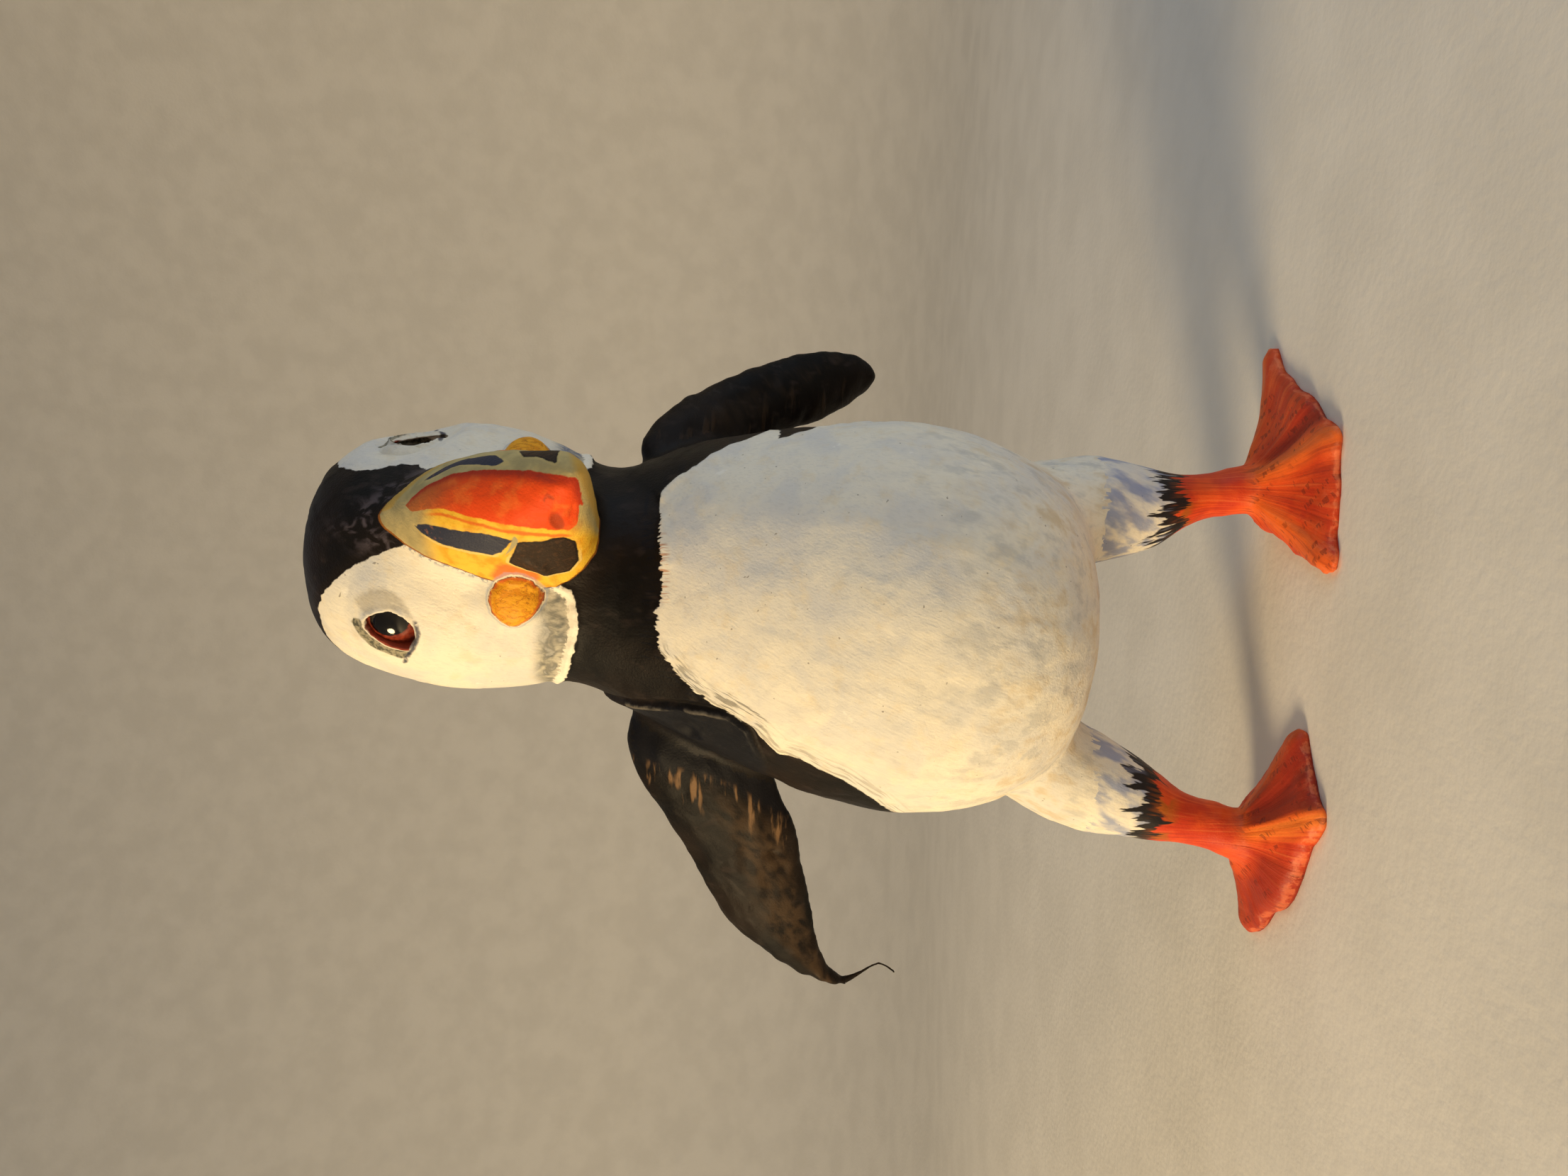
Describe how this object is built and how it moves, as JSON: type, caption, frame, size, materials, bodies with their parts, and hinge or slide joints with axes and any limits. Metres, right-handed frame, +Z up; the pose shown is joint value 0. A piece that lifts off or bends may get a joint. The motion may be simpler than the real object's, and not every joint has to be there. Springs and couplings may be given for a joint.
{
  "type": "papier-mache puffin figure",
  "caption": "Standing papier-mache puffin with spread wings, a deep striped bill and broad webbed feet that it balances on as a shelf ornament.",
  "frame": {"origin": "on the floor under the soles, at the middle of the bounding box's footprint", "axes": "+Z up from the soles to the crown, -Y the way that the breast and bill face, +X the bird's own left"},
  "size_m": [0.1796, 0.1128, 0.2415],
  "materials": {
    "painted_paper": "pasted paper under brushed acrylic paint, partly satin",
    "eye_gloss": "high gloss"
  },
  "bodies": {
    "root": {"puffin": "painted_paper", "left_eye": "eye_gloss", "right_eye": "eye_gloss"}
  },
  "joints": []
}
